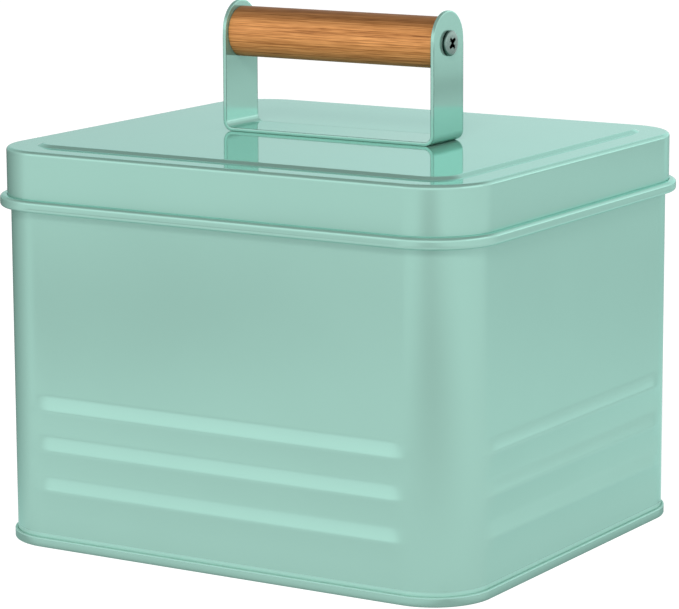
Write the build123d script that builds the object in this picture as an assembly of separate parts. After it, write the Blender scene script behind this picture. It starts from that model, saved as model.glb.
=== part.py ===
from build123d import *
from math import ceil, copysign, radians, sqrt, tan
import os

# A steel storage tin for laundry pods. The body is one sheet wrapped round, with three ribs
# pressed into each wall and its rim turned in and down. A base panel is joined to it by a
# double seam. The drawn lid slips over the rim; its lower edge is rolled outwards and its top
# stands up in a shallow panel. A strip bent into a U is fixed on the lid and holds a wooden
# dowel between two screws. Millimetres, +Z up, origin at the middle of the foot's underside.

# Sheet and clearances
SHEET = 0.3              # tinplate of the body, the base and the lid
BEND_CHORD = 1.4         # longest chord that a bend of the tinplate is taken in
PLATE_LAP = 1.0          # lap of a flat middle on the section that goes round it
FOLD_PLAY = 0.02         # paint film between two folded layers
LID_PLAY = 0.86          # room between the wall and the lid's skirt, each side
LID_REST_GAP = 0.3       # room between the turned rim and the lid's underside
SCREW_PLAY = 0.05        # room round the screw in its pilot hole

# Body
BODY_WIDTH = 173.0       # over the front wall's plain part, along X
BODY_DEPTH = 152.8       # over the side wall's plain part, along Y
CORNER_RADIUS = 19.0     # upright corners, outside
LID_HEIGHT = 128.7       # floor to the lid's border
RIM_WIDTH = 2.6          # rim turned in, over its outside
RIM_LEG = 2.2            # height of the rim's leg that points down
RIM_BEND = 0.8           # middle radius of the rim's bends

# Ribs, pressed outwards
RIB_COUNT = 3
RIB_DEPTH = 0.95
RIB_PITCH = 13.15
LOWEST_CREST = 18.75     # floor to the lowest crest
RIB_RUN_OUT = 4.0        # length over which a rib fades out towards a corner
# One rib from its upper foot to its lower foot: height above the crest as a share of the
# pitch, and how far it stands out as a share of the depth. The upper flank is the steep one.
RIB_SHARES = ((0.40, 0.0), (0.10, 0.9), (0.0, 1.0), (-0.11, 0.8), (-0.32, 0.25), (-0.58, 0.0))

# Base and its double seam
SEAM_HEIGHT = 3.2
SEAM_BEND = 0.4          # middle radius of the fold that the tin stands on
HOOK_GAP = 0.35          # from a hook's edge to the fold that it points at
BASE_RECESS = 3.6        # floor to the base panel's underside

# Lid
EDGE_BEND = 1.3          # middle radius of the lid's top edge
BORDER_WIDTH = 10.0      # skirt to the raised panel's foot
PANEL_RISE = 0.85
STEP_RUN = 1.8           # width of the slope up to the raised panel
CURL_BOTTOM = 109.5      # floor to the underside of the rolled edge
CURL_HEIGHT = 3.8
CURL_REACH = 2.35        # how far the rolled edge stands out from the skirt
CURL_BEND = 0.85         # middle radius of the roll
CURL_GAP = 0.35          # from the skirt to the rolled edge's end

# Handle
FINGER_ROOM = 22.65      # room between the strip and the grip
HANDLE_LENGTH = 79.6     # over the two arms
STRIP_WIDTH = 19.0
STRIP_THICKNESS = 1.2
STRIP_BEND = 2.8         # middle radius of the bends
ARM_MARGIN = 10.3        # screw's centre to the top of the arm
GRIP_DIAMETER = 16.5

# Pan head screws
HEAD_DIAMETER = 8.2
HEAD_HEIGHT = 1.5
SHANK_DIAMETER = 4.0
SHANK_LENGTH = 19.0      # underside of the head to the blunt end
ARM_HOLE_DIAMETER = 4.6
RECESS_WIDTH = 4.4       # tip to tip of the cross
RECESS_SLOT = 1.0
RECESS_DEPTH = 1.0
RECESS_TAPER = 12.0      # degrees
SCREW_TURNS = {"left": 20.0, "right": 38.0}   # degrees that the cross is turned

OVERRUN = 1.0            # how far a cutter passes its wall
QUARTER = 90.0           # degrees
UP = Vector(0, 0, 1)

half_x = BODY_WIDTH / 2 - CORNER_RADIUS
half_y = BODY_DEPTH / 2 - CORNER_RADIUS
rim_top = LID_HEIGHT - SHEET - LID_REST_GAP
panel_top = LID_HEIGHT + PANEL_RISE
grip_height = panel_top + STRIP_THICKNESS + FINGER_ROOM + GRIP_DIAMETER / 2
arm_top = grip_height + ARM_MARGIN
arm_inside = HANDLE_LENGTH / 2 - STRIP_THICKNESS

# The seam's layers, as the distance of each one's middle outside the wall's outer face
layer = SHEET + FOLD_PLAY
wall_mid = -SHEET / 2
end_hook = wall_mid + layer
body_hook = wall_mid + 2 * layer
seam_face = wall_mid + 3 * layer
chuck_wall = wall_mid - layer

# The seam's two sharp folds, as the height of each one's middle: the body's fold lies on the
# base's lowest layer, and the base's fold is the seam's top
fold_half = SHEET / sqrt(2)
body_fold = SHEET + FOLD_PLAY + fold_half
base_fold = SEAM_HEIGHT - fold_half


def folded(points, bends):
    """Middle line of a folded sheet, each bend a true arc taken in a few chords."""
    corners = [Vector(*point) for point in points]
    line = corners[:1]
    for before, corner, after, bend in zip(corners, corners[1:], corners[2:], bends):
        coming, going = (corner - before).normalized(), (after - corner).normalized()
        turn = coming.get_signed_angle(going, UP)
        start = corner - coming * bend * tan(radians(abs(turn)) / 2)
        centre = start + coming.rotate(Axis.Z, copysign(QUARTER, turn)) * bend
        spoke = start - centre
        chords = ceil(bend * radians(abs(turn)) / BEND_CHORD)
        steps = [turn * step / chords for step in range(chords + 1)] if bend else [0]
        line += [centre + spoke.rotate(Axis.Z, angle) for angle in steps]
    return Polyline(*line, corners[-1])


def sheet_section(points, bends):
    """Section of a folded sheet from its middle line: distance out from the wall, height."""
    return trace(folded(points, bends), SHEET)


def turned(side, shape):
    """Turn a shape that was made for the right-hand side to one of the four sides."""
    return Rot(Z=side * QUARTER) * shape


def side_sizes(side):
    """Half the reach and half the run of a side, both up to the corners' centres."""
    return (half_x, half_y) if side % 2 == 0 else (half_y, half_x)


def once_round(section):
    """Carry a section once round the tin: along the four walls and round the corners."""
    upright = Rot(X=QUARTER) * Pos(CORNER_RADIUS, 0) * section
    ring = Part()
    for side in range(4):
        reach, run = side_sizes(side)
        placed = Pos(reach, run) * upright
        wall = extrude(placed, amount=2 * run, dir=(0, -1, 0))
        corner = Pos(reach, run) * revolve(upright, Axis.Z, QUARTER)
        ring += [turned(side, wall), turned(side, corner)]
    return ring


def plate(inset, underside):
    """Flat middle of the lid or the base, its edge a given distance inside the wall."""
    outline = RectangleRounded(
        BODY_WIDTH - 2 * inset, BODY_DEPTH - 2 * inset, CORNER_RADIUS - inset
    )
    return Pos(Z=underside) * extrude(outline, SHEET)


def rib(crest, run):
    """One pressed rib: straight between its run-outs, each of which ends in a point."""
    straight = run - RIB_RUN_OUT
    outline = [(out * RIB_DEPTH, crest + up * RIB_PITCH) for up, out in RIB_SHARES]
    section = Pos(Y=straight) * Rot(X=QUARTER) * make_face(Polyline(*outline, close=True))
    middle = extrude(section, amount=2 * straight, dir=(0, -1, 0))
    end = loft([section, Vertex(0, run, crest)], ruled=True)
    return middle + end + mirror(end, Plane.XZ)


def ribs(side):
    """The ribs of one wall, standing on its outer face."""
    reach, run = side_sizes(side)
    crests = [LOWEST_CREST + number * RIB_PITCH for number in range(RIB_COUNT)]
    pressed = Part() + [rib(crest, run) for crest in crests]
    return Pos(X=reach + CORNER_RADIUS) * pressed


def make_body_shell():
    """Wrapped wall with its ribs, the hook that the seam holds and the rim turned in."""
    leg = wall_mid - RIM_WIDTH + SHEET
    top = rim_top - SHEET / 2
    section = sheet_section(
        [
            (body_hook, base_fold - fold_half - HOOK_GAP),
            (body_hook, body_fold + layer),
            (end_hook, body_fold),
            (wall_mid, body_fold + layer),
            (wall_mid, top),
            (leg, top),
            (leg, rim_top - RIM_LEG),
        ],
        [0, 0, 0, RIM_BEND, RIM_BEND],
    )
    shell = once_round(section)
    for side in range(4):
        outside = ribs(side)
        shell += turned(side, outside)
        shell -= turned(side, Pos(X=-SHEET) * outside)
    return shell


def make_base_panel():
    """Base with its rim folded round the body's hook: the tin stands on the fold."""
    panel = BASE_RECESS + SHEET / 2
    section = sheet_section(
        [
            (end_hook, body_fold + fold_half + HOOK_GAP),
            (end_hook, base_fold - layer),
            (body_hook, base_fold),
            (seam_face, base_fold - layer),
            (seam_face, SHEET / 2),
            (chuck_wall, SHEET / 2),
            (chuck_wall, panel),
            (chuck_wall - 2 * PLATE_LAP, panel),
        ],
        [0, 0, 0, SEAM_BEND, SEAM_BEND, 0],
    )
    return once_round(section) + plate(PLATE_LAP - chuck_wall, BASE_RECESS)


def make_lid_shell():
    """Drawn lid: raised panel, border, skirt, and the lower edge rolled out and up."""
    skirt = LID_PLAY + SHEET / 2
    border = LID_HEIGHT - SHEET / 2
    foot = skirt + SHEET / 2 - BORDER_WIDTH
    head = foot - STEP_RUN
    roll_out = skirt + CURL_REACH
    roll_low = CURL_BOTTOM + SHEET / 2
    roll_high = CURL_BOTTOM + CURL_HEIGHT - SHEET / 2
    section = sheet_section(
        [
            (head - 2 * PLATE_LAP, border + PANEL_RISE),
            (head, border + PANEL_RISE),
            (foot, border),
            (skirt, border),
            (skirt, roll_low),
            (roll_out, roll_low),
            (roll_out, roll_high),
            (skirt + SHEET / 2 + CURL_GAP, roll_high),
        ],
        [0, 0, EDGE_BEND, CURL_BEND, CURL_BEND, CURL_BEND],
    )
    return once_round(section) + plate(PLATE_LAP - head, panel_top - SHEET)


def make_handle_bracket():
    """Strip bent into a U, its arms rounded off and pierced for the screws."""
    arm = (HANDLE_LENGTH - STRIP_THICKNESS) / 2
    base = panel_top + STRIP_THICKNESS / 2
    line = FilletPolyline(
        (-arm, arm_top), (-arm, base), (arm, base), (arm, arm_top),
        radius=STRIP_BEND,
    )
    strip = Rot(X=QUARTER) * trace(line, STRIP_THICKNESS)
    bent = extrude(strip, amount=STRIP_WIDTH / 2, both=True)
    straight = arm_top - STRIP_WIDTH / 2 - panel_top
    outline = Pos(0, straight / 2) * Rectangle(STRIP_WIDTH, straight)
    outline += Pos(0, straight) * Circle(STRIP_WIDTH / 2)
    side_view = Pos(Z=panel_top) * (Plane.YZ * outline)
    bent &= extrude(side_view, amount=HANDLE_LENGTH, both=True)
    hole = Cylinder(ARM_HOLE_DIAMETER / 2, HANDLE_LENGTH + OVERRUN)
    return bent - Pos(Z=grip_height) * Rot(Y=QUARTER) * hole


def make_grip():
    """Wooden dowel with a pilot hole in each end."""
    length = 2 * arm_inside
    dowel = Cylinder(GRIP_DIAMETER / 2, length)
    depth = SHANK_LENGTH - STRIP_THICKNESS + SCREW_PLAY
    pilot = Cylinder(SHANK_DIAMETER / 2 + SCREW_PLAY, 2 * depth)
    for end in (-length / 2, length / 2):
        dowel -= Pos(Z=end) * pilot
    return Pos(Z=grip_height) * Rot(Y=QUARTER) * dowel


def make_screw(turn):
    """Pan head screw with a cross recess, standing on its head's underside."""
    base = (Align.CENTER, Align.CENTER, Align.MIN)
    head = Cylinder(HEAD_DIAMETER / 2, HEAD_HEIGHT, align=base)
    cross = Rectangle(RECESS_WIDTH, RECESS_SLOT) + Rectangle(RECESS_SLOT, RECESS_WIDTH)
    recess = extrude(Pos(Z=HEAD_HEIGHT) * cross, amount=-RECESS_DEPTH, taper=RECESS_TAPER)
    shank = Pos(Z=-SHANK_LENGTH) * Cylinder(SHANK_DIAMETER / 2, SHANK_LENGTH, align=base)
    return Rot(Z=turn) * (head - recess + shank)


def make_grip_screw(hand):
    """Screw through one arm into the grip's end."""
    outward = 1 if hand == "right" else -1
    seat = Pos(outward * HANDLE_LENGTH / 2, 0, grip_height)
    return seat * Rot(Y=outward * QUARTER) * make_screw(SCREW_TURNS[hand])


nodes = {
    "body_shell": make_body_shell(),
    "base_panel": make_base_panel(),
    "lid_shell": make_lid_shell(),
    "handle_bracket": make_handle_bracket(),
    "grip": make_grip(),
    "grip_screw_left": make_grip_screw("left"),
    "grip_screw_right": make_grip_screw("right"),
}
os.makedirs("parts", exist_ok=True)
for name, solid in nodes.items():
    export_step(solid, f"parts/{name}.step")
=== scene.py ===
from math import atan2, copysign, cos, pi, radians, sin, tan

import bmesh
import bpy
from bmesh.types import BMEdge, BMVert
from mathutils import Matrix, Quaternion, Vector


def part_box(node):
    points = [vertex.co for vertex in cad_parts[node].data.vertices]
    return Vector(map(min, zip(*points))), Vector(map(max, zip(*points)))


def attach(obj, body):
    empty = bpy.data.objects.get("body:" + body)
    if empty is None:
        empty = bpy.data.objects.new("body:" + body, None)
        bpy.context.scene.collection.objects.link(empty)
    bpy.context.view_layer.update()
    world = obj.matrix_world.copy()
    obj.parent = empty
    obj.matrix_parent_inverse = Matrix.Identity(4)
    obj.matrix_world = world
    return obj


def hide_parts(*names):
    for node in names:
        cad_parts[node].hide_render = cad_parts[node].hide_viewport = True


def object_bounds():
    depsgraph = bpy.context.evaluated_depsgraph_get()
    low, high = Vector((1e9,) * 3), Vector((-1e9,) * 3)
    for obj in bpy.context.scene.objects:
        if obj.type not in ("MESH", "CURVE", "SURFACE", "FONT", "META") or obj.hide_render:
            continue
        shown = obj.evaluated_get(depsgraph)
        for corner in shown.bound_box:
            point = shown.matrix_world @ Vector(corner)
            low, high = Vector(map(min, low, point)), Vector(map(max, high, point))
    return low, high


# A mint enamelled tin for laundry pods, with a slip-on lid and a wooden bar handle. The
# sections follow it as it is put together. Metres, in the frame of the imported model.
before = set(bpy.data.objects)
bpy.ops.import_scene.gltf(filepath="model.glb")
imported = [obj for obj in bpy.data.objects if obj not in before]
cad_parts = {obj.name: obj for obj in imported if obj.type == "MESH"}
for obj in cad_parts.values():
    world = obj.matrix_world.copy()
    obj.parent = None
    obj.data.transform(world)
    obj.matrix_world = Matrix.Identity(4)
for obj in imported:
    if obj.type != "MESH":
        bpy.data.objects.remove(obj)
cad_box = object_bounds()
scene = bpy.context.scene


# The studio. A pale floor without an edge, three soft lamps, and a sky that is dark overhead,
# dim at the left and bright low behind the right. Reflections see the floor dimmed in patches
# and close to the tin. The camera stands where the photo's straight edges say it stood.
CAMERA_AZIMUTH, CAMERA_ELEVATION, CAMERA_ROLL = 31.600, 10.649, -0.241   # degrees
CAMERA_DISTANCE = 1.0833
CAMERA_AIM = Vector((-0.00123, 0, 0.07345))
CAMERA_LENS, CAMERA_SENSOR = 174.98, 36                # millimetres
SKY_GLOW, SKY_OVERHEAD = 1.25, 0.22
GLOW_TOP, GLOW_END = 20, 46                            # degrees above the horizon
SKY_PATCHES = [
    {"azimuth": 255, "elevation": 0, "spread": 61, "tone": 0.38},
    {"azimuth": 150, "elevation": 1, "spread": 10, "tone": 1.5},
]
LAMP_DISTANCE = 1.8
LAMPS = {
    "left_lamp": {"azimuth": -40, "elevation": 22, "size": (1.4, 1.1), "watts": 0.5, "shines": True},
    "right_lamp": {"azimuth": 100, "elevation": 22, "size": (1.4, 1.1), "watts": 1.5, "shines": True},
    "front_lamp": {"azimuth": 25, "elevation": 36, "size": (0.5, 0.4), "watts": 15.0, "shines": False},
}
FLOOR_SIZE, FLOOR_DEPTH = 12.0, 0.00002
FLOOR_GREY, FLOOR_BOOST, FLOOR_GLOW = 0.45, 0.82, 0.95
DARK_SIDE, DARK_SIDE_START, DARK_SIDE_TONE = 235, 0.30, 0.16
CONTACT_START, CONTACT_END, CONTACT_TONE = -0.0015, 0.003, 0.5   # distances past the tin
FLOOR_PATCHES = [
    {"azimuth": 0, "distance": 0.0, "radius": 0.26, "tone": 0.84},
    {"azimuth": -32, "distance": 0.58, "radius": 0.26, "tone": 0.48},
    {"azimuth": 32, "distance": 0.47, "radius": 0.42, "tone": 0.57},
    {"azimuth": 25, "distance": 0.84, "radius": 0.38, "tone": 0.64},
    {"azimuth": 150, "distance": 0.62, "radius": 0.42, "tone": 0.76},
    {"azimuth": 148, "distance": 1.16, "radius": 0.36, "tone": 0.58},
]


class Value:
    """A node's output that takes part in sums: each operator adds its Math node."""

    def __init__(self, shader, socket):
        self.shader = shader
        self.socket = socket

    def maths(self, operation, *values):
        return self.shader.node("Math", {"operation": operation}, dict(enumerate(values)))

    def __add__(self, other):
        return self.maths("ADD", self, other)

    def __sub__(self, other):
        return self.maths("SUBTRACT", self, other)

    def __rsub__(self, other):
        return self.maths("SUBTRACT", other, self)

    def __mul__(self, other):
        return self.maths("MULTIPLY", self, other)

    def __truediv__(self, other):
        return self.maths("DIVIDE", self, other)

    def __rtruediv__(self, other):
        return self.maths("DIVIDE", other, self)

    def __gt__(self, other):
        return self.maths("GREATER_THAN", self, other)

    def __abs__(self):
        return self.maths("ABSOLUTE", self)

    __radd__ = __add__
    __rmul__ = __mul__


class Shader:
    """The node tree of a material or of the world."""

    def __init__(self, owner):
        owner.use_nodes = True
        self.tree = owner.node_tree
        self.tree.nodes.clear()

    def node(self, kind, settings=(), inputs=(), output=0):
        """Any node: its settings first, a ramp's stops among them, then its sockets."""
        node = self.tree.nodes.new("ShaderNode" + kind)
        for name, value in dict(settings).items():
            if name == "stops":
                ramp = node.color_ramp
                while len(ramp.elements) < len(value):
                    ramp.elements.new(1.0)
                for element, (position, colour) in zip(ramp.elements, value):
                    element.position = position
                    element.color = (*colour, 1.0)
            else:
                setattr(node, name, value)
        for name, value in dict(inputs).items():
            if isinstance(value, Value):
                self.tree.links.new(value.socket, node.inputs[name])
            else:
                node.inputs[name].default_value = value
        return Value(self, node.outputs[output]) if node.outputs else node


def ranged(value, start, end, before, after, blend="SMOOTHSTEP"):
    """What goes from before to after while a value goes from start to end."""
    return value.shader.node(
        "MapRange",
        {"interpolation_type": blend},
        {"Value": value, "From Min": start, "From Max": end, "To Min": before, "To Max": after},
    )


def compared(operation, vector, other):
    """The distance between two vectors, or their dot product."""
    return vector.shader.node(
        "VectorMath", {"operation": operation}, {0: vector, 1: other}, output="Value",
    )


def part_of(vector, axis):
    """One part of a vector: 0, 1 or 2 for x, y or z."""
    return vector.shader.node("SeparateXYZ", inputs={0: vector}, output=axis)


def grey(tone):
    """A colour without hue."""
    return (tone, tone, tone)


def toward(azimuth, elevation=0):
    """The way from the tin to a place, in degrees: azimuths turn from the front to the right."""
    azimuth, elevation = radians(azimuth), radians(elevation)
    return Vector((sin(azimuth) * cos(elevation), -cos(azimuth) * cos(elevation), sin(elevation)))


camera = bpy.data.objects.new("camera", bpy.data.cameras.new("camera"))
camera.data.lens = CAMERA_LENS
camera.data.sensor_width = CAMERA_SENSOR
back = toward(CAMERA_AZIMUTH, CAMERA_ELEVATION)
camera.location = CAMERA_AIM + back * CAMERA_DISTANCE
camera.rotation_mode = "QUATERNION"
camera.rotation_quaternion = (
    back.to_track_quat("Z", "Y") @ Quaternion((0, 0, 1), radians(CAMERA_ROLL))
)
scene.collection.objects.link(camera)
scene.camera = camera
scene.view_settings.view_transform = "Standard"

sky = bpy.data.worlds.new("sky")
scene.world = sky
shader = Shader(sky)
direction = shader.node("TexCoord", output="Generated")
sky_strength = SKY_GLOW
for patch in SKY_PATCHES:
    nearness = compared("DOT_PRODUCT", direction, toward(patch["azimuth"], patch["elevation"]))
    sky_strength = sky_strength * ranged(
        nearness, cos(radians(patch["spread"])), 1.0, 1.0, patch["tone"], "LINEAR",
    )
sky_colour = shader.node(
    "ValToRGB",
    {
        "stops": [
            (sin(radians(GLOW_TOP)), grey(1)),
            (sin(radians(GLOW_END)), grey(SKY_OVERHEAD / SKY_GLOW)),
        ],
    },
    {0: part_of(direction, 2)},
)
sky_light = shader.node("Background", inputs={"Color": sky_colour, "Strength": sky_strength})
shader.node("OutputWorld", inputs={"Surface": sky_light})

for name, lamp in LAMPS.items():
    light = bpy.data.lights.new(name, "AREA")
    light.shape = "RECTANGLE"
    light.size, light.size_y = lamp["size"]
    light.energy = lamp["watts"]
    outward = toward(lamp["azimuth"], lamp["elevation"])
    holder = bpy.data.objects.new(name, light)
    holder.location = CAMERA_AIM + outward * LAMP_DISTANCE
    holder.rotation_mode = "QUATERNION"
    holder.rotation_quaternion = outward.to_track_quat("Z", "Y")
    holder.visible_glossy = lamp["shines"]
    scene.collection.objects.link(holder)

floor_mesh = bpy.data.meshes.new("floor")
bm = bmesh.new()
bmesh.ops.create_grid(bm, x_segments=1, y_segments=1, size=FLOOR_SIZE / 2)
bmesh.ops.translate(bm, verts=bm.verts, vec=(0, 0, -FLOOR_DEPTH))
bm.to_mesh(floor_mesh)
bm.free()
floor = bpy.data.objects.new("floor", floor_mesh)
scene.collection.objects.link(floor)
floor_white = bpy.data.materials.new("floor_white")
floor_mesh.materials.append(floor_white)
shader = Shader(floor_white)
spot = shader.node("TexCoord", output="Object")
spot_way = shader.node("VectorMath", {"operation": "NORMALIZE"}, {0: spot})
mirror_colour = shader.node(
    "ValToRGB",
    {"stops": [(DARK_SIDE_START, grey(1)), (1.0, grey(DARK_SIDE_TONE))]},
    {0: compared("DOT_PRODUCT", spot_way, toward(DARK_SIDE))},
)
mirror_strength = FLOOR_GLOW
for patch in FLOOR_PATCHES:
    away = compared("DISTANCE", spot, toward(patch["azimuth"]) * patch["distance"])
    mirror_strength = mirror_strength * ranged(away, 0, patch["radius"], patch["tone"], 1)
# Close to the tin, the floor that reflections see is darkened: a painted contact shadow.
past_tin = [abs(part_of(spot, axis)) - cad_box[1][axis] for axis in (0, 1)]
farther = shader.node("Math", {"operation": "MAXIMUM"}, dict(enumerate(past_tin)))
contact = ranged(farther, CONTACT_START, CONTACT_END, CONTACT_TONE, 1, "LINEAR")
mirrored = shader.node(
    "Emission", inputs={"Color": mirror_colour, "Strength": mirror_strength * contact},
)
matt = shader.node("BsdfDiffuse", inputs={"Color": (*grey(FLOOR_GREY), 1)})
lit = shader.node("Emission", inputs={"Strength": FLOOR_BOOST})
shown = shader.node("AddShader", inputs={0: matt, 1: lit})
seen_straight = shader.node("LightPath", output="Is Camera Ray")
floor_surface = shader.node("MixShader", inputs={0: seen_straight, 1: mirrored, 2: shown})
shader.node("OutputMaterial", inputs={"Surface": floor_surface})


# The tin's wall. One tinplate sheet is wrapped round and welded at the middle of the back.
# Three ribs are pressed outwards in each side, the rim is turned in and down, and the lower
# edge is hooked into the base seam. It is sprayed with mint enamel and baked.
SHEET = 0.0003
FOLD_PLAY = 0.00002
CORNER, CORNER_STEPS = 0.019, 40                       # outer radius of the upright corners
RIB_DEPTH, RIB_PITCH, RIB_COUNT = 0.00095, 0.01315, 3
LOWEST_CREST = 0.01875
RIB_RISE, RIB_FALL = 0.0053, 0.0076                    # a rib above and below its crest
RISE_POWER, FALL_POWER = 1.2, 2.0
RIB_RUN_OUT, RIB_PAST = 0.0085, 0.0040                 # a rib's end, and its part in the corner
ROW_HEIGHT, CREST_ROUND = 0.0004, 0.0004
FADE_STEPS = 4
HEM_BEND, RIM_BEND = (0.00018, 3), (0.0008, 5)         # each bend's radius and its steps
RIM_WIDTH, RIM_LEG = 0.0026, 0.0022
SEAM_HEIGHT, HOOK_GAP = 0.0032, 0.00035
HOLD, SHORT = 0.0003, 0.0012       # holding lines lie this far from a bend; a short length has none
MERGE = 0.000002
SHARP = radians(38)                                    # edges bent by more than this stay crisp
MINT = (0.305, 0.505, 0.43, 1)
MINT_SHINE = (0.5, 1.0, 0.92, 1)
PAINT_METAL, PAINT_IOR = 0.4, 3.0
TIN_ROUGHNESS, LID_ROUGHNESS = 0.17, 0.05
PAINT_TONE, CLOUD_TONE = 0.97, 0.06
CLOUD = {"Scale": 28.0, "Detail": 3.0}
PEEL = {"Scale": 900.0, "Detail": 2.0}
PEEL_BUMP = {"Strength": 0.04, "Distance": 0.00003}
PEEL_ROUGHNESS = 0.05
WAVE = {"Scale": 16.0, "Detail": 1.0}
WAVE_BUMP = {"Strength": 0.15, "Distance": 0.0005}
GROOVE_RISE, GROOVE_HALF, GROOVE_FADE = 0.0004, 0.0003, 0.0012   # from the seam's top upwards
# The groove's tone is painted light: it lightens the enamel where shade falls in the groove over the seam.
GROOVE_PAINTED_LIGHT, GROOVE_ROUGHNESS, GROOVE_METAL = 0.12, 0.3, 0.3
WELD_WIDTH, WELD_TONE = 0.0009, 0.1                    # half the width of the weld
WELD_BUMP = {"Strength": 0.6, "Distance": 0.0001}


def tinted(colour, tint):
    """A colour multiplied by another."""
    return tint.shader.node(
        "Mix",
        {"data_type": "RGBA", "blend_type": "MULTIPLY"},
        {"Factor": 1.0, "A": colour, "B": tint},
        output=2,
    )


def enamel(name, roughness, welded):
    """Mint enamel: a metal sheen, fine orange peel and a sheet that isn't dead flat. In the groove over the
    base seam it is dull, and painted light makes it paler there against the groove's shade; the weld down
    the back shows in it."""
    material = bpy.data.materials.new(name)
    shader = Shader(material)
    spot = shader.node("TexCoord", output="Object")
    cloud = shader.node("TexNoise", inputs={"Vector": spot, **CLOUD})
    peel = shader.node("TexNoise", inputs={"Vector": spot, **PEEL})
    wave = shader.node("TexNoise", inputs={"Vector": spot, **WAVE})
    across, deep, up = [part_of(spot, axis) for axis in (0, 1, 2)]
    groove = ranged(abs(up - SEAM_HEIGHT - GROOVE_RISE), GROOVE_HALF, GROOVE_FADE, 1, 0)
    weld = ranged(abs(across), 0, WELD_WIDTH, 1, 0)
    weld = weld * (deep > centre.y + CORNER / 2) * (up > SEAM_HEIGHT) * welded
    # The groove's share of this tone is painted light; the cloud and the weld are the paint's own.
    tone = PAINT_TONE + cloud * CLOUD_TONE + groove * GROOVE_PAINTED_LIGHT - weld * WELD_TONE
    skin = shader.node("Bump", inputs={"Height": peel, **PEEL_BUMP})
    sheet = shader.node("Bump", inputs={"Height": wave, "Normal": skin, **WAVE_BUMP})
    bead = shader.node("Bump", inputs={"Height": weld, "Normal": sheet, **WELD_BUMP})
    paint = shader.node(
        "BsdfPrincipled",
        inputs={
            "Base Color": tinted(MINT, shader.node("CombineColor", inputs={0: tone, 1: tone, 2: tone})),
            "Roughness": roughness + peel * PEEL_ROUGHNESS + groove * GROOVE_ROUGHNESS,
            "Metallic": PAINT_METAL - groove * GROOVE_METAL,
            "IOR": PAINT_IOR,
            "Specular Tint": MINT_SHINE,
            "Normal": bead,
        },
    )
    shader.node("OutputMaterial", inputs={"Surface": paint})
    return material


def sheet_wire(points, bends):
    """A folded sheet's middle line, set upright at the start of the right-hand wall. Points
    are (distance out from the wall, height), bends (radius, steps); a line is held straight
    close to each bend."""
    bm = bmesh.new()
    corners = [bm.verts.new((wall.x + out, -centre.y, height)) for out, height in points]
    for before, after in zip(corners, corners[1:]):
        bm.edges.new((before, after))
    places = [corner.co.copy() for corner in corners]
    for corner, before, middle, after, (radius, steps) in zip(
        corners[1:-1], places, places[1:], places[2:], bends
    ):
        bmesh.ops.bevel(
            bm, geom=[corner], offset=radius * tan((middle - before).angle(after - middle) / 2),
            offset_type="OFFSET", segments=steps, profile=0.5, affect="VERTICES", material=-1,
        )
    for edge in [edge for edge in bm.edges if edge.calc_length() > SHORT]:
        length = edge.calc_length()
        _, vert = bmesh.utils.edge_split(edge, edge.verts[0], HOLD / length)
        far = max(vert.link_edges, key=BMEdge.calc_length)
        bmesh.utils.edge_split(far, vert, 1 - HOLD / far.calc_length())
    return bm


def only(kind, items):
    """The verts or the edges among what an operator gives."""
    return [item for item in items if isinstance(item, kind)]


def once_round(bm, stops):
    """Carry a wire once round the tin: along each wall by the stops that the wall's half
    length gives, then round its corner."""
    ends = bm.verts[:] + bm.edges[:]
    for side in range(4):
        turn = Matrix.Rotation(side * pi / 2, 4, "Z")
        along = turn @ Vector((0, 1, 0))
        across, run = (centre.x, centre.y) if side % 2 == 0 else (centre.y, centre.x)
        places = stops(run)
        for before, after in zip(places, places[1:]):
            ends = bmesh.ops.extrude_edge_only(bm, edges=only(BMEdge, ends))["geom"]
            bmesh.ops.translate(bm, verts=only(BMVert, ends), vec=along * (after - before))
        ends = bmesh.ops.spin(
            bm, geom=only((BMVert, BMEdge), ends), cent=turn @ Vector((across, run, 0)),
            axis=(0, 0, 1), dvec=(0, 0, 0), angle=pi / 2, steps=CORNER_STEPS,
            use_merge=False, use_duplicate=False,
        )["geom_last"]
    bmesh.ops.remove_doubles(bm, verts=bm.verts, dist=MERGE)


def thicken(bm, thickness):
    """Give a middle surface its thickness, half to each side."""
    bmesh.ops.recalc_face_normals(bm, faces=bm.faces)
    bm.normal_update()
    moves = {vert: vert.normal * vert.calc_shell_factor() * thickness / 2 for vert in bm.verts}
    for vert, move in moves.items():
        vert.co += move
    bm.normal_update()
    bmesh.ops.solidify(bm, geom=bm.faces[:], thickness=thickness)


def fill_middle(bm, height):
    """Close the ring of edges that lies open at a height with one flat face."""
    ring = [
        edge for edge in bm.edges
        if edge.is_boundary and all(abs(vert.co.z - height) < MERGE for vert in edge.verts)
    ]
    bmesh.ops.contextual_create(bm, geom=ring)


def add_piece(name, bm, node, body, material):
    """Make the mesh an object that stands in for a node, in its body."""
    mesh = bpy.data.meshes.new(name)
    bm.to_mesh(mesh)
    bm.free()
    mesh.shade_smooth()
    mesh.set_sharp_from_angle(angle=SHARP)
    mesh.materials.append(material)
    piece = bpy.data.objects.new(name, mesh)
    scene.collection.objects.link(piece)
    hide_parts(node)
    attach(piece, body)


def rib_height(up):
    """How far a rib stands out at a height above its crest, as a share of its depth."""
    if up > 0:
        return max(0, 1 - up / RIB_RISE) ** RISE_POWER
    return max(0, 1 + up / RIB_FALL) ** FALL_POWER


def wall_stops(run):
    """Stations along a wall: close together where the ribs run out, none between."""
    fade = [(RIB_RUN_OUT - RIB_PAST) * step / FADE_STEPS for step in range(FADE_STEPS + 1)]
    return [-run + part for part in fade] + [run - part for part in reversed(fade)]


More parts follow.
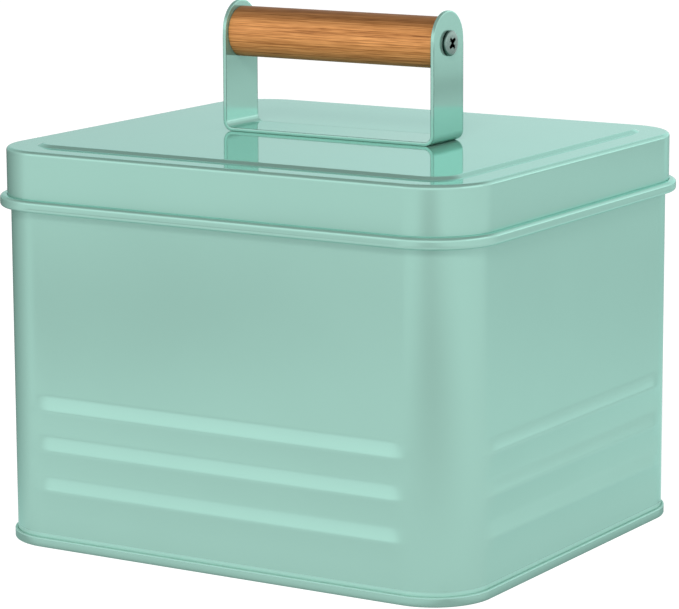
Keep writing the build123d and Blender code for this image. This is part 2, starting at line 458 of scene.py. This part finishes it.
tin_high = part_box("body_shell")[1]
wall = Vector((tin_high.x - RIB_DEPTH, tin_high.y - RIB_DEPTH))   # plain walls' outer faces
centre = wall - Vector((CORNER, CORNER))                          # corners' centres
wall_line = -SHEET / 2
layer = SHEET + FOLD_PLAY
leg_line = wall_line - RIM_WIDTH + SHEET
body_fold = SHEET + layer
rim = tin_high.z - SHEET / 2
bm = sheet_wire(
    [
        (wall_line + 2 * layer, SEAM_HEIGHT - SHEET - HOOK_GAP),
        (wall_line + 2 * layer, body_fold - SHEET / 2),
        (wall_line, body_fold - SHEET / 2),
        (wall_line, rim),
        (leg_line, rim),
        (leg_line, tin_high.z - RIM_LEG),
    ],
    [HEM_BEND, HEM_BEND, RIM_BEND, RIM_BEND],
)
crests = [LOWEST_CREST + number * RIB_PITCH for number in range(RIB_COUNT)]
rib_foot = crests[0] - RIB_FALL - ROW_HEIGHT
rib_head = crests[-1] + RIB_RISE + ROW_HEIGHT
upright = max(bm.edges, key=BMEdge.calc_length)
foot, head = sorted(upright.verts, key=lambda vert: vert.co.z)
upright, low = bmesh.utils.edge_split(upright, foot, (rib_foot - foot.co.z) / (head.co.z - foot.co.z))
upright = next(edge for edge in low.link_edges if head in edge.verts)
_, high = bmesh.utils.edge_split(upright, low, (rib_head - low.co.z) / (head.co.z - low.co.z))
ribbed = next(edge for edge in low.link_edges if high in edge.verts)
bmesh.ops.subdivide_edges(bm, edges=[ribbed], cuts=round((rib_head - rib_foot) / ROW_HEIGHT) - 1)
once_round(bm, wall_stops)

# The ribs are pressed out of the rows between rib_foot and rib_head. Each crest is rounded by
# the mean of three heights, and each rib fades out a little way into the corners.
shifts = (-CREST_ROUND, 0, CREST_ROUND)
for vert in bm.verts:
    out = Vector((max(0, abs(vert.co.x) - centre.x), max(0, abs(vert.co.y) - centre.y)))
    if rib_foot < vert.co.z < rib_head and out.length > CORNER + 2 * wall_line:
        if min(out) > 0:
            past = CORNER * atan2(min(out), max(out))
        else:
            past = min(abs(vert.co.x) - centre.x, abs(vert.co.y) - centre.y)
        fade = min(1, max(0, (RIB_PAST - past) / RIB_RUN_OUT))
        height = sum(
            rib_height(vert.co.z - crest + shift) / len(shifts)
            for crest in crests for shift in shifts
        )
        push = out.normalized() * RIB_DEPTH * min(1, height) * fade * fade * (3 - 2 * fade)
        vert.co.x += copysign(push.x, vert.co.x)
        vert.co.y += copysign(push.y, vert.co.y)
thicken(bm, SHEET)
tin_enamel = enamel("tin_enamel", TIN_ROUGHNESS, 1)
add_piece("tin_wall", bm, "body_shell", "tin", tin_enamel)


# The base. One tinplate panel let up into the wall, its edge folded out, up, over and down
# again round the wall's hook and pressed flat: the double seam that the tin stands on.
BASE_RECESS = 0.0036
SEAM_BEND = (0.0004, 4)
PANEL_IN = 0.0025                                      # from the wall to the panel's closing ring
hook_line = wall_line + layer
seam_line = wall_line + 3 * layer
chuck_line = wall_line - layer
panel = BASE_RECESS + SHEET / 2
bm = sheet_wire(
    [
        (hook_line, body_fold + SHEET + HOOK_GAP),
        (hook_line, SEAM_HEIGHT - SHEET / 2),
        (seam_line, SEAM_HEIGHT - SHEET / 2),
        (seam_line, SHEET / 2),
        (chuck_line, SHEET / 2),
        (chuck_line, panel),
        (-PANEL_IN, panel),
    ],
    [HEM_BEND, HEM_BEND, SEAM_BEND, SEAM_BEND, SEAM_BEND],
)
once_round(bm, lambda run: [-run, run])
fill_middle(bm, panel)
thicken(bm, SHEET)
add_piece("tin_base", bm, "base_panel", "tin", tin_enamel)


# The lid. One drawn tinplate pressing that slips over the rim: a raised panel, a flat border,
# a soft top edge, a short skirt, and the lower edge rolled outwards and up into a bead.
BORDER_WIDTH, STEP_RUN, PANEL_RISE = 0.0100, 0.0018, 0.00085
SKIRT_OUT = 0.00101
CURL_HEIGHT, CURL_GAP = 0.0038, 0.00015
STEP_BEND, EDGE_BEND, CURL_BEND = (0.0007, 4), (0.0011, 6), (0.00105, 7)
lid_low, lid_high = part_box("lid_shell")
border = lid_high.z - PANEL_RISE - SHEET / 2
step_foot = SKIRT_OUT + SHEET / 2 - BORDER_WIDTH
step_head = step_foot - STEP_RUN
curl_out = lid_high.x - wall.x - SHEET / 2
curl_low = lid_low.z + SHEET / 2
curl_high = lid_low.z + CURL_HEIGHT - SHEET / 2
bm = sheet_wire(
    [
        (step_head - PANEL_IN, border + PANEL_RISE),
        (step_head, border + PANEL_RISE),
        (step_foot, border),
        (SKIRT_OUT, border),
        (SKIRT_OUT, curl_low),
        (curl_out, curl_low),
        (curl_out, curl_high),
        (SKIRT_OUT + SHEET / 2 + CURL_GAP, curl_high),
    ],
    [STEP_BEND, STEP_BEND, EDGE_BEND, CURL_BEND, CURL_BEND, CURL_BEND],
)
once_round(bm, lambda run: [-run, run])
fill_middle(bm, border + PANEL_RISE)
thicken(bm, SHEET)
lid_enamel = enamel("lid_enamel", LID_ROUGHNESS, 0)
add_piece("lid_pressing", bm, "lid_shell", "lid", lid_enamel)


# The handle bracket. One steel strip bent into a U, its arms cut to a half round and pierced
# for the screws, its edges taken off. It is spot welded to the lid and enamelled with it.
STRIP_THICKNESS, ARM_HOLE = 0.0012, 0.0046
STRIP_BEND, STRIP_BEND_STEPS = 0.0028, 8
STRIP_EDGE, STRIP_EDGE_STEPS = 0.0002, 3
STRIP_CREASE = radians(60)
ARC_STEPS = 64
arm_low, arm_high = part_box("handle_bracket")
strip_half = arm_high.y
arm = arm_high.x - STRIP_THICKNESS / 2
arc_height = arm_high.z - strip_half
grip_low, grip_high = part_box("grip")
grip_height = (grip_low.z + grip_high.z) / 2
strip_base = arm_low.z + STRIP_THICKNESS / 2


def clear_of_hole(vert):
    """Whether a point of the arm belongs to its outline and not to the screw's hole."""
    return (vert.co.yz - Vector((0, grip_height))).length > ARM_HOLE


# The right arm's round head is spun about the screw's hole, then its lower edge is drawn down
# the leg, round the bend and along the lid to the middle, and mirrored.
bm = bmesh.new()
verts = [
    bm.verts.new((arm, 0, grip_height + radius))
    for radius in (ARM_HOLE / 2, ARM_HOLE / 2 + 2 * HOLD, strip_half - 2 * HOLD, strip_half)
]
edges = [bm.edges.new(pair) for pair in zip(verts, verts[1:])]
bmesh.ops.spin(
    bm, geom=verts + edges, cent=(arm, 0, grip_height), axis=(1, 0, 0), dvec=(0, 0, 0),
    angle=2 * pi, steps=ARC_STEPS, use_merge=True, use_duplicate=False,
)
for vert in bm.verts:
    if clear_of_hole(vert) and vert.co.z > grip_height - MERGE:
        vert.co.z += arc_height - grip_height
hem = [
    edge for edge in bm.edges
    if edge.is_boundary and all(
        clear_of_hole(vert) and vert.co.z < arc_height + MERGE for vert in edge.verts
    )
]
for height in (grip_height - strip_half - HOLD, strip_base + STRIP_BEND):
    ends = bmesh.ops.extrude_edge_only(bm, edges=hem)["geom"]
    hem = only(BMEdge, ends)
    for vert in {vert for edge in hem for vert in edge.verts}:
        vert.co.z = height
ends = bmesh.ops.spin(
    bm, geom=only((BMVert, BMEdge), ends), cent=(arm - STRIP_BEND, 0, strip_base + STRIP_BEND),
    axis=(0, 1, 0), dvec=(0, 0, 0), angle=pi / 2, steps=STRIP_BEND_STEPS,
    use_merge=False, use_duplicate=False,
)["geom_last"]
ends = bmesh.ops.extrude_edge_only(bm, edges=only(BMEdge, ends))["geom"]
for vert in only(BMVert, ends):
    vert.co.x = 0
bmesh.ops.mirror(
    bm, geom=bm.verts[:] + bm.edges[:] + bm.faces[:], merge_dist=MERGE, axis="X",
)
bmesh.ops.remove_doubles(bm, verts=bm.verts, dist=MERGE)
thicken(bm, STRIP_THICKNESS)
bmesh.ops.bevel(
    bm, geom=[edge for edge in bm.edges if edge.calc_face_angle(0) > STRIP_CREASE],
    offset=STRIP_EDGE, offset_type="OFFSET", segments=STRIP_EDGE_STEPS, profile=0.5,
    affect="EDGES", material=-1,
)
add_piece("handle_strip", bm, "handle_bracket", "lid", lid_enamel)


# The grip. A turned hardwood dowel, its ends eased and drilled for the screws, sealed with a
# clear satin coat.
GRIP_EASE, GRIP_STEPS = 0.0004, 96
PILOT, PILOT_DEPTH = 0.0041, 0.01785
GRAIN = {"Scale": 1.0, "Detail": 5.0, "Roughness": 0.6}
GRAIN_STRETCH = (16.0, 2400.0, 2400.0)
STREAK = {"Scale": 1.0, "Detail": 3.0, "Distortion": 0.4}
STREAK_STRETCH = (5.0, 420.0, 420.0)
DASH = {"Scale": 1.0, "Detail": 2.0}
DASH_STRETCH = (110.0, 2300.0, 2300.0)
GRAIN_SHARE, DASH_SHARE, STREAK_SHARE = 0.5, 0.3, 0.2
WOOD_TONES = [
    (0.36, (0.19, 0.06, 0.013)),
    (0.45, (0.50, 0.20, 0.055)),
    (0.59, (0.82, 0.375, 0.125)),
]
# Painted shade over the grip's height, from its bottom upwards: darker above and below, lightest a little
# under the middle.
GRIP_SHADE_TONES = [(0.0, 0.85), (0.35, 0.95), (0.50, 1.0), (0.70, 0.92), (0.90, 0.42)]   # upwards
WOOD_ROUGHNESS, GRAIN_ROUGHNESS, WOOD_SPECULAR = 0.45, 0.1, 0.25
WOOD_BUMP = {"Strength": 0.15, "Distance": 0.0001}
DASH_RELIEF = 0.5


def lathed(points, seat, steps):
    """Turn a profile of (distance along X, radius) about the X axis through the seat."""
    bm = bmesh.new()
    verts = [bm.verts.new((seat.x + along, seat.y, seat.z + radius)) for along, radius in points]
    edges = [bm.edges.new(pair) for pair in zip(verts, verts[1:])]
    bmesh.ops.spin(
        bm, geom=verts + edges, cent=seat, axis=(1, 0, 0), dvec=(0, 0, 0), angle=2 * pi,
        steps=steps, use_merge=True, use_duplicate=False,
    )
    bmesh.ops.remove_doubles(bm, verts=bm.verts, dist=MERGE)
    bmesh.ops.recalc_face_normals(bm, faces=bm.faces)
    return bm


def drawn_out(spot, stretch, noise):
    """Noise drawn out along the grip."""
    stretched = spot.shader.node("Mapping", inputs={"Vector": spot, "Scale": stretch})
    return spot.shader.node("TexNoise", inputs={"Vector": stretched, **noise})


def wood(name):
    """Sealed hardwood: long fine grain, short dark dashes and broad paler streaks, with painted
    shade that makes it darker above and below."""
    material = bpy.data.materials.new(name)
    shader = Shader(material)
    spot = shader.node("TexCoord", output="Object")
    grain = drawn_out(spot, GRAIN_STRETCH, GRAIN)
    streak = drawn_out(spot, STREAK_STRETCH, STREAK)
    dash = drawn_out(spot, DASH_STRETCH, DASH)
    colour = shader.node(
        "ValToRGB",
        {"stops": WOOD_TONES},
        {0: grain * GRAIN_SHARE + dash * DASH_SHARE + streak * STREAK_SHARE},
    )
    # Painted shade: the grip's colour darkens towards its top and bottom.
    up = part_of(spot, 2) - grip_height
    painted_shade = shader.node(
        "ValToRGB",
        {"stops": [(share, grey(tone)) for share, tone in GRIP_SHADE_TONES]},
        {0: up / (grip_high.z - grip_low.z) + 0.5},
    )
    relief = shader.node("Bump", inputs={"Height": grain + dash * DASH_RELIEF, **WOOD_BUMP})
    surface = shader.node(
        "BsdfPrincipled",
        inputs={
            "Base Color": tinted(colour, painted_shade),
            "Roughness": WOOD_ROUGHNESS + grain * GRAIN_ROUGHNESS,
            "Specular IOR Level": WOOD_SPECULAR,
            "Normal": relief,
        },
    )
    shader.node("OutputMaterial", inputs={"Surface": surface})
    return material


grip_end, grip_radius = grip_high.x, grip_high.z - grip_height
eased = GRIP_EASE / 3                                  # how deep the easing's middle lies
half = [
    (grip_end - PILOT_DEPTH, 0), (grip_end - PILOT_DEPTH, PILOT / 2), (grip_end, PILOT / 2),
    (grip_end, grip_radius - GRIP_EASE), (grip_end - eased, grip_radius - eased),
    (grip_end - GRIP_EASE, grip_radius), (grip_end - GRIP_EASE - HOLD, grip_radius),
]
other_half = [(-along, radius) for along, radius in reversed(half)]
bm = lathed(half + other_half, Vector((0, 0, grip_height)), GRIP_STEPS)
add_piece("dowel_grip", bm, "grip", "lid", wood("grip_wood"))


# The screws. Zinc plated steel with a domed pan head and a cross recess, one driven through
# each arm into the grip's end.
HEAD, HEAD_HEIGHT, HEAD_RIM, SHANK = 0.0082, 0.0015, 0.0007, 0.004
CROSS_WIDTH, CROSS_SLOT, CROSS_DEPTH, CROSS_NARROW = 0.0044, 0.001, 0.0013, 0.86
HEAD_STEPS, HEAD_SPAN, HEAD_POWER = 10, radians(63), 2 / 3   # the head's rounding
SCREW_STEPS = 48
SCREW_TURNS = {"left": 20, "right": 38}                # degrees
# Painted shade: the head is darkened from its seat on the arm up to DARK_UP_TO, and has its full tone from
# BRIGHT_FROM.
DARK_UP_TO, BRIGHT_FROM = 0.25, 0.7                    # shares of the head's height
STEEL_AND_SHADE_TONES = [
    (0.0, (0.015, 0.022, 0.02)),
    (0.5, (0.16, 0.24, 0.215)),
    (1.0, (0.27, 0.38, 0.345)),
]
RUB = {"Scale": 1400.0, "Detail": 3.0}
RUB_LEAST, RUB_MORE = 0.5, 0.5
STEEL_ROUGHNESS, RUB_ROUGHNESS = 0.22, 0.16


def steel(name):
    """Zinc plated steel with fine rubbed variation, and painted shade that darkens it where the head meets
    the arm.
    """
    material = bpy.data.materials.new(name)
    shader = Shader(material)
    spot = shader.node("TexCoord", output="Object")
    rub = shader.node("TexNoise", inputs={"Vector": spot, **RUB})
    # The head's colour goes dark towards the arm: painted shade in the gap under the head.
    dark = arm_high.x + HEAD_HEIGHT * DARK_UP_TO
    bright = arm_high.x + HEAD_HEIGHT * BRIGHT_FROM
    face = ranged(abs(part_of(spot, 0)), dark, bright, 0, 1)
    colour = shader.node("ValToRGB", {"stops": STEEL_AND_SHADE_TONES}, {0: face * (RUB_LEAST + rub * RUB_MORE)})
    surface = shader.node(
        "BsdfPrincipled",
        inputs={
            "Base Color": colour,
            "Metallic": 1.0,
            "Roughness": STEEL_ROUGHNESS + rub * RUB_ROUGHNESS,
        },
    )
    shader.node("OutputMaterial", inputs={"Surface": surface})
    return material


screw_steel = steel("screw_steel")
for hand, degrees in SCREW_TURNS.items():
    node = f"grip_screw_{hand}"
    screw_low, screw_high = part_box(node)
    shank_end = HEAD_HEIGHT - (screw_high.x - screw_low.x)
    angles = [HEAD_SPAN * step / HEAD_STEPS for step in range(HEAD_STEPS + 1)]
    dome = HEAD_HEIGHT - HEAD_RIM
    rounding = [
        (HEAD_RIM + dome * sin(angle) ** HEAD_POWER, HEAD / 2 * cos(angle) ** HEAD_POWER)
        for angle in angles
    ]
    crown = rounding[-1][0]
    bm = lathed(
        [(shank_end, 0), (shank_end, SHANK / 2), (0, SHANK / 2), (0, HEAD / 2)] + rounding,
        Vector((0, 0, 0)), SCREW_STEPS,
    )
    circle = [edge for edge in bm.edges if edge.is_boundary]
    wide, slot = CROSS_WIDTH / 2, CROSS_SLOT / 2
    outline = [
        (wide, -slot), (wide, slot), (slot, slot), (slot, wide), (-slot, wide), (-slot, slot),
        (-wide, slot), (-wide, -slot), (-slot, -slot), (-slot, -wide), (slot, -wide), (slot, -slot),
    ]
    tips = [bm.verts.new((crown, across, up)) for across, up in outline]
    cross = [bm.edges.new(pair) for pair in zip(tips, tips[1:] + tips[:1])]
    bmesh.ops.bridge_loops(bm, edges=circle + cross)
    ends = bmesh.ops.extrude_edge_only(bm, edges=cross)["geom"]
    for vert in only(BMVert, ends):
        vert.co = Vector((vert.co.x - CROSS_DEPTH, vert.co.y * CROSS_NARROW, vert.co.z * CROSS_NARROW))
    bmesh.ops.contextual_create(bm, geom=only(BMEdge, ends))
    bmesh.ops.recalc_face_normals(bm, faces=bm.faces)
    turned = Matrix.Rotation(radians(degrees), 4, "X")
    if hand == "right":
        seat = Matrix.Translation((screw_high.x - HEAD_HEIGHT, 0, grip_height))
    else:
        seat = Matrix.Translation((screw_low.x + HEAD_HEIGHT, 0, grip_height)) @ Matrix.Rotation(pi, 4, "Z")
    bmesh.ops.transform(bm, verts=bm.verts, matrix=seat @ turned)
    add_piece(f"pan_screw_{hand}", bm, node, "lid", screw_steel)
